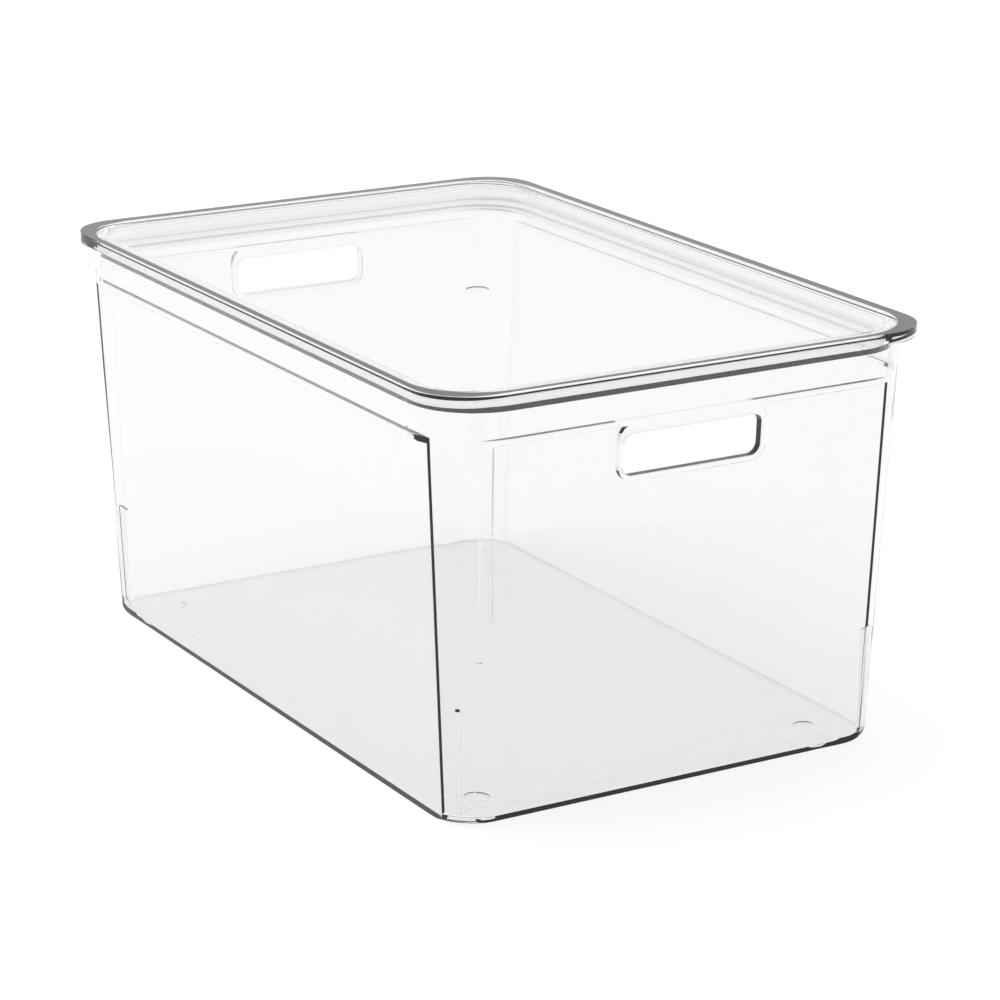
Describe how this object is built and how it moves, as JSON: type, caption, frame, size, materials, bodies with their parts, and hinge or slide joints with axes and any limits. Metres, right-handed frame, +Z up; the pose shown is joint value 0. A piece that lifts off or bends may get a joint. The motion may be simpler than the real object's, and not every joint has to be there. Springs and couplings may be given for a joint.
{
  "type": "lidded storage box",
  "caption": "Clear rectangular storage box with drafted, set-back side panels, a hand hole in each short end and a lift-off lid with a sunken tray.",
  "frame": {"origin": "middle of the bounding box in plan, on the plane the box stands on", "axes": "+Z up, +Y along the long side, +X along the short side"},
  "size_m": [0.28, 0.413, 0.216],
  "materials": {
    "clear_plastic": "clear and polished"
  },
  "bodies": {
    "box_body": {"storage_box": "clear_plastic"},
    "lid_body": {"lid": "clear_plastic"}
  },
  "joints": [
    {"name": "lid_lift", "type": "slide", "parent": "box_body", "child": "lid_body", "axis": [0, 0, 1], "range_m": [0, 0.06]}
  ]
}
